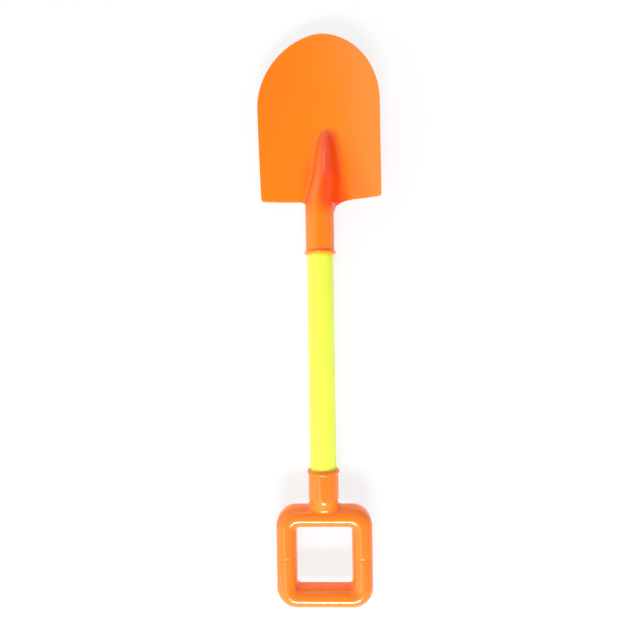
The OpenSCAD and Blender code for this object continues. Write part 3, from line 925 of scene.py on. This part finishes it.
def rib_tree(material):
    """A flat rib across each of the four bars at its middle."""
    tree, n, given = started("cross_ribs", ("Reach X", "Reach Y", "Width", "Thickness", "Height", "Level"))
    corners = n.add("GeometryNodeMeshCircle", {"Vertices": 4, "Radius": 1.0})
    reach = {0: n.add("GeometryNodeInputPosition"), 1: n.vector(X=given["Reach X"], Y=given["Reach Y"])}
    spots = n.add("ShaderNodeVectorMath", reach, operation="MULTIPLY")
    lifted = n.vector(Z=given["Level"])
    points = n.add("GeometryNodeSetPosition", {"Geometry": corners, "Position": spots, "Offset": lifted})
    size = n.vector(X=given["Width"], Y=given["Thickness"], Z=given["Height"])
    rib = n.add("GeometryNodeMeshCube", {"Size": size})
    turn = n.vector(Z=n.math("MULTIPLY", n.add("GeometryNodeInputIndex").outputs[0], math.pi / 2))
    ribs = n.add("GeometryNodeInstanceOnPoints", {"Points": points, "Instance": rib, "Rotation": turn})
    finished(n, ribs, material)
    return tree


def form_of(bm):
    """The mesh of a closed form, with its faces turned outwards."""
    bmesh.ops.recalc_face_normals(bm, faces=bm.faces)
    return mesh_of(bm, "form")


def turned_form(profile, around=128, upright=False):
    """A closed solid turned round the Y axis, or round Z if upright, from (radius, place) pairs."""
    bm = bmesh.new()
    rings = []
    for r, at in profile:
        ring = []
        for k in range(around if r > 0 else 1):
            a = 2 * math.pi * k / around
            x, y = r * math.cos(a), r * math.sin(a)
            ring.append(bm.verts.new((x, y, at) if upright else (x, at, y)))
        rings.append(ring)
    for low, high in zip(rings, rings[1:]):
        for k in range(around):
            corners = [line[n % len(line)] for line, n in ((low, k), (low, k + 1), (high, k + 1), (high, k))]
            bm.faces.new(list(dict.fromkeys(corners)))
    return form_of(bm)


def box_form(low, high):
    """A box from its low corner to its high one."""
    bm = bmesh.new()
    bmesh.ops.create_cube(bm, size=1.0)
    for v in bm.verts:
        v.co = [low[k] + (v.co[k] + 0.5) * (high[k] - low[k]) for k in range(3)]
    return form_of(bm)


def combined(base, *steps):
    """The base mesh after booleans with (operation, mesh) pairs, in order."""
    body, *tools = [placed("form", mesh) for mesh in (base, *[mesh for _, mesh in steps])]
    for (operation, _), tool in zip(steps, tools):
        modifier = body.modifiers.new(operation, "BOOLEAN")
        modifier.operation = operation
        modifier.object = tool
        modifier.solver = "EXACT"
    return baked(body, *tools)


def arc(centre, r, start, end, count):
    """Points of an arc from one angle to another, in degrees."""
    turns = [math.radians(start + (end - start) * k / count) for k in range(count + 1)]
    return [(centre[0] + r * math.cos(a), centre[1] + r * math.sin(a)) for a in turns]


class GripForm:
    """Places in the loop's own frame, with the tube's axis through its middle and Z up out of the front."""

    # Steps along the socket's lip, its straight part and its dome, and along the pocket's dome
    lip_n = 24
    straight_n = 6
    dome_n = 36
    pocket_n = 30
    # Width of the pocket's window, as a share of the pocket's
    window_share = 0.65

    # The blend's rings on each side, its steps, how far it goes past the back rim and how deep it sits
    blend_n = 40
    blend_steps = 18
    past_rim_share = 1.5
    root_share = 2.2
    embed = 0.00001

    def __init__(self, sizes, bore_r):
        self.s = s = sizes
        self.bore_r = bore_r
        self.bar_r = s.bar / 2
        self.drop = s.depth - self.bar_r
        self.bar_x = s.width / 2 - self.bar_r
        self.bar_y = s.height / 2 - self.bar_r
        self.mouth = s.length - s.height / 2
        self.socket_r = bore_r + s.socket_wall
        self.dome = self.mouth - s.socket
        self.stop = self.mouth - s.seat - s.wall

    def socket(self):
        """The socket with its rolled lip, bore and domed end. Past the stop wall it ends at the back rim."""
        s = self.s
        ring_r = self.socket_r + s.lip_out - s.lip
        under = math.degrees(math.acos((self.socket_r - ring_r) / s.lip))
        profile = [(0.0, self.mouth - s.seat), (self.bore_r, self.mouth - s.seat)]
        profile += [(self.bore_r, self.mouth - MOUTH_CHAMFER), (self.bore_r + MOUTH_CHAMFER, self.mouth)]
        profile += arc((ring_r, self.mouth - s.lip), s.lip, 90, -under, self.lip_n)
        foot = profile[-1][1]
        for k in range(1, self.straight_n):
            profile.append((self.socket_r, foot - (foot - self.dome) * k / self.straight_n))
        profile += arc((0.0, self.dome), self.socket_r, 0, -90, self.dome_n)[:-1]
        profile.append((0.0, self.dome - self.socket_r))
        wide = self.socket_r + OVERRUN
        far_end = self.stop - 2 * self.socket_r
        below = box_form((-wide, far_end, -self.drop - self.socket_r), (wide, self.stop, -self.drop))
        return combined(turned_form(profile), ("DIFFERENCE", below))

    def blend(self):
        """The hollow blend that a ball leaves as it rolls between the socket's dome and the top bar."""
        s = self.s
        steps = self.blend_steps
        dome_reach, bar_reach = self.socket_r + s.blend, self.bar_r + s.blend
        gap = self.dome - self.bar_y
        crest = math.acos((bar_reach**2 + gap**2 - dome_reach**2) / (2 * bar_reach * gap))
        low = math.asin(min(1.0, self.past_rim_share * self.drop / bar_reach))
        dome_middle = Vector((0.0, gap, 0.0))
        lift = Vector((0.0, self.bar_y, 0.0))
        bm = bmesh.new()
        rings = []
        for k in range(-self.blend_n, self.blend_n + 1):
            a = -low + (crest + low) * math.sin(math.pi / 2 * (1 - abs(k) / self.blend_n))
            y, z = bar_reach * (1.0 if a < 0 else math.cos(a)), bar_reach * math.sin(a)
            x = math.sqrt(max(0.0, dome_reach**2 - (y - gap) ** 2 - z * z))
            ball = Vector((math.copysign(x, k), y, z))
            bar_middle = Vector((ball.x, 0.0, z if a < 0 else 0.0))
            p = dome_middle + (ball - dome_middle) * (self.socket_r - self.embed) / dome_reach - ball
            q = bar_middle + (ball - bar_middle) * (self.bar_r - self.embed) / bar_reach - ball
            span = p.angle(q)
            ring = []
            for t in range(steps + 1):
                rolled = p * math.sin(span * (1 - t / steps)) + q * math.sin(span * t / steps)
                ring.append(ball + rolled / math.sin(span))
            ring.append(ball + self.root_share * (p + q))
            rings.append([bm.verts.new(v + lift) for v in ring])
        for low_ring, high_ring in zip(rings, rings[1:]):
            for k in range(steps + 2):
                n = (k + 1) % (steps + 2)
                bm.faces.new((low_ring[k], high_ring[k], high_ring[n], low_ring[n]))
        bm.faces.new(rings[0])
        bm.faces.new(rings[-1][::-1])
        everything = [*bm.verts, *bm.edges, *bm.faces]
        rim = {"plane_co": (0, 0, -self.drop), "plane_no": (0, 0, 1)}
        bmesh.ops.bisect_plane(bm, geom=everything, clear_inner=True, **rim)
        bmesh.ops.holes_fill(bm, edges=[e for e in bm.edges if e.is_boundary])
        return form_of(bm)

    def pocket(self):
        """The hollow behind the stop wall, open to the back and to the top bar's channel."""
        r = self.socket_r - self.s.wall
        deep = self.socket_r + OVERRUN
        profile = [(0.0, -deep), (r, -deep), *arc((0.0, 0.0), r, 0, 90, self.pocket_n)[:-1], (0.0, r)]
        domed = turned_form(profile, upright=True)
        domed.transform(Matrix.Translation((0, self.dome, 0)))
        half = self.window_share * r
        window = box_form((-half, self.bar_y, -self.drop - OVERRUN), (half, self.dome, 0.0))
        clip = box_form((-deep, self.bar_y, -deep - OVERRUN), (deep, self.stop, deep))
        return combined(domed, ("UNION", window), ("INTERSECT", clip))


class SHOVEL_OT_grip(bpy.types.Operator):
    """Build the grip: the hollow square loop, and the socket with its domed end and rolled lip"""

    bl_idname = "shovel.grip"
    bl_label = "Grip"

    def execute(self, context):
        scene = context.scene
        s = scene.shovel_grip
        f = GripForm(s, TUBE_R + scene.shovel_tube.fit)
        middle_y = GRIP_END_Y + s.height / 2
        hole_top = middle_y + s.height / 2 - s.bar
        material = moulded_plastic(
            "orange_grip_plastic",
            scene.shovel_finish.grip,
            dips=lambda n, place: rib_dips(n, place, AXIS_X, middle_y, hole_top),
        )
        bar = loop_tree(material)

        def square(inset, deeper):
            values = {
                "Width": s.width - 2 * inset,
                "Height": s.height - 2 * inset,
                "Bar": s.bar - 2 * inset,
                "Outer Corner": s.corner - inset,
                "Inner Corner": s.hole_corner + inset,
                "Drop": f.drop + deeper,
            }
            return grown("square_bar", bar, values)

        rib_height = f.bar_r - s.wall / 2 + f.drop - s.rib_set
        ribs = grown(
            "ribs",
            rib_tree(material),
            {
                "Reach X": f.bar_x,
                "Reach Y": f.bar_y,
                "Width": s.bar - s.wall,
                "Thickness": s.rib,
                "Height": rib_height,
                "Level": rib_height / 2 - f.drop + s.rib_set,
            },
        )
        mesh = combined(
            square(0.0, 0.0),
            ("UNION", f.socket()),
            ("UNION", f.blend()),
            ("DIFFERENCE", square(s.wall, OVERRUN)),
            ("DIFFERENCE", f.pocket()),
            ("UNION", combined(ribs, ("INTERSECT", square(s.wall / 2, 0.0)))),
        )
        bm = bmesh.new()
        bm.from_mesh(mesh)
        bmesh.ops.remove_doubles(bm, verts=bm.verts, dist=WELD)
        bmesh.ops.recalc_face_normals(bm, faces=bm.faces)
        for face in bm.faces:
            face.material_index = 0
        bm.to_mesh(mesh)
        bm.free()
        mesh.materials.clear()
        mesh.materials.append(material)
        mesh.transform(Matrix.Translation((AXIS_X, middle_y, AXIS_Z)))
        smooth(mesh, degrees=35)
        add_piece("grip_skin", mesh, "grip")
        return {"FINISHED"}


# Stage

# The floor's half width, its gap below the shovel and how far what is seen of it is pure white
FLOOR_REACH = 3.0
FLOOR_GAP = 0.0004
FLOOR_WHITE = 0.8
# The backdrop stands on the floor's edge and a little into the floor
WALL_RADIUS = 2.9
WALL_HEIGHT = 6.0
WALL_SUNK = 0.001
PURE_WHITE = (1.0, 1.0, 1.0, 1.0)

# Soft lights: name, place, target, size and power in watts
SOFTBOXES = (
    ("front_strip", (0.0, -0.95, 0.75), (0.0, -0.05, 0.0), (0.5, 0.18), 13.0),
    ("left_panel", (-0.37, -0.705, 1.01), (0.0, -0.17, 0.0), (0.62, 0.24), 1.3),
    ("back_softbox", (-0.22, 1.1, 0.74), (0.0, 0.13, 0.0), (0.28, 0.4), 0.85),
)

# The camera that was fitted to the photograph's outlines: its place above the tube's axis, in metres,
# its turns about the shovel's axes, in degrees and in this order, and its lens on a 36 mm sensor
CAMERA_PLACE = (0.00972, -0.0007, 0.336042)
CAMERA_TURNS = (("Z", 0.853), ("X", 0.091), ("Y", -1.792))
CAMERA_LENS = 27.22
CAMERA_SENSOR = 36.0
CAMERA_NEAREST = 0.01


def floor_material():
    """A white floor whose shadow shows faintly: most of what is seen of it is backdrop white."""
    mat = bpy.data.materials.new("white_floor")
    n = emptied(mat)
    matte = n.add("ShaderNodeBsdfDiffuse", {"Color": (0.9, 0.9, 0.9, 1.0), "Roughness": 0.6})
    white = n.add("ShaderNodeEmission", {"Color": PURE_WHITE, "Strength": 1.0})
    path = n.add("ShaderNodeLightPath").outputs
    mirrored = n.math("MAXIMUM", path["Is Glossy Ray"], path["Is Transmission Ray"])
    seen = n.math("MULTIPLY", n.math("MAXIMUM", mirrored, path["Is Camera Ray"]), FLOOR_WHITE)
    mixed = n.add("ShaderNodeMixShader", {0: seen, 1: matte, 2: white})
    n.add("ShaderNodeOutputMaterial", {"Surface": mixed})
    return mat


def white_wall():
    """The backdrop all round. Only the camera sees it, so it keeps no light from the shovel."""
    mat = bpy.data.materials.new("white_wall")
    n = emptied(mat)
    white = n.add("ShaderNodeEmission", {"Color": PURE_WHITE, "Strength": 1.0})
    n.add("ShaderNodeOutputMaterial", {"Surface": white})
    bm = bmesh.new()
    bmesh.ops.create_cone(
        bm, cap_ends=False, segments=64, radius1=WALL_RADIUS, radius2=WALL_RADIUS, depth=WALL_HEIGHT
    )
    wall = staged("backdrop", bm, WALL_HEIGHT / 2 - WALL_SUNK, mat)
    for rays in ("diffuse", "glossy", "transmission", "volume_scatter", "shadow"):
        setattr(wall, "visible_" + rays, False)


def staged(name, bm, height, material):
    """A piece of the stage, raised to this height."""
    mesh = mesh_of(bm, name)
    mesh.transform(Matrix.Translation((0, 0, height)))
    mesh.materials.append(material)
    thing = placed(name, mesh)
    return thing


def studio_world(level=0.95, from_left=0.47, overhead=0.2):
    """A soft white studio: brighter on the left, with a dark patch straight overhead."""
    patch_begin, patch_full = 0.62, 0.93
    world = bpy.data.worlds.new("studio")
    n = emptied(world)
    way = n.axes(n.add("ShaderNodeTexCoord").outputs["Generated"])
    side = n.math("MULTIPLY_ADD", way[0], -from_left, 1.0)
    patch = n.fade(way[2], patch_begin, patch_full, 1.0, overhead)
    strength = n.math("MULTIPLY", n.math("MULTIPLY", side, patch), level)
    light = n.add("ShaderNodeBackground", {"Color": PURE_WHITE, "Strength": strength})
    n.add("ShaderNodeOutputWorld", {"Surface": light})
    return world


def softbox(name, place, target, size, power):
    """A soft rectangular lamp that faces its target."""
    light = bpy.data.lights.new(name, "AREA")
    light.shape = "RECTANGLE"
    light.size, light.size_y = size
    light.energy = power
    lamp = placed(name, light)
    lamp.location = place
    lamp.rotation_euler = (Vector(target) - Vector(place)).to_track_quat("-Z", "Y").to_euler()


def fitted_camera():
    """The camera at the photograph's angle."""
    camera = bpy.data.cameras.new("camera")
    camera.sensor_fit = "HORIZONTAL"
    camera.sensor_width = CAMERA_SENSOR
    camera.lens = CAMERA_LENS
    camera.clip_start = CAMERA_NEAREST
    eye = placed("camera", camera)
    tilt = Matrix.Identity(4)
    for axis, degrees in CAMERA_TURNS:
        tilt = tilt @ Matrix.Rotation(math.radians(degrees), 4, axis)
    x, y, z = CAMERA_PLACE
    eye.matrix_world = Matrix.Translation((x, y, z + AXIS_Z)) @ tilt.transposed()
    return eye


class SHOVEL_OT_stage(bpy.types.Operator):
    """Set up the pale floor, the soft lights and the camera above the shovel"""

    bl_idname = "shovel.stage"
    bl_label = "Stage"

    def execute(self, context):
        scene = context.scene
        bm = bmesh.new()
        bmesh.ops.create_grid(bm, x_segments=1, y_segments=1, size=FLOOR_REACH)
        staged("floor", bm, -FLOOR_GAP, floor_material())
        white_wall()
        scene.world = studio_world()
        for light in SOFTBOXES:
            softbox(*light)
        scene.camera = fitted_camera()
        scene.view_settings.view_transform = "Standard"
        return {"FINISHED"}


class SHOVEL_PT_panel(bpy.types.Panel):
    """The shovel's sizes, its finishes and the buttons that build it"""

    bl_idname = "SHOVEL_PT_panel"
    bl_label = "Sand Shovel"
    bl_space_type = "VIEW_3D"
    bl_region_type = "UI"
    bl_category = "Sand Shovel"

    def draw(self, context):
        scene = context.scene
        for title, group, operator in (
            ("Blade", scene.shovel_blade, "shovel.blade"),
            ("Tube", scene.shovel_tube, "shovel.tube"),
            ("Grip", scene.shovel_grip, "shovel.grip"),
            ("Finish", scene.shovel_finish, None),
        ):
            box = self.layout.box()
            box.label(text=title)
            for name in group.__annotations__:
                box.prop(group, name)
            if operator:
                box.operator(operator)
        self.layout.operator("shovel.stage")


GROUPS = {
    "shovel_blade": BladeSizes,
    "shovel_grip": GripSizes,
    "shovel_tube": TubeSizes,
    "shovel_finish": ShovelFinish,
}
CLASSES = (
    *GROUPS.values(),
    SHOVEL_OT_blade,
    SHOVEL_OT_tube,
    SHOVEL_OT_grip,
    SHOVEL_OT_stage,
    SHOVEL_PT_panel,
)


def register():
    """Register the classes and give the scene its settings."""
    for cls in CLASSES:
        bpy.utils.register_class(cls)
    for name, cls in GROUPS.items():
        setattr(bpy.types.Scene, name, PointerProperty(type=cls))


def unregister():
    """Take the settings and classes away again."""
    for name in GROUPS:
        delattr(bpy.types.Scene, name)
    for cls in reversed(CLASSES):
        bpy.utils.unregister_class(cls)


def main():
    """Build the whole shovel and its stage."""
    register()
    bpy.ops.shovel.blade()
    bpy.ops.shovel.tube()
    bpy.ops.shovel.grip()
    bpy.ops.shovel.stage()


if __name__ == "__main__":
    main()
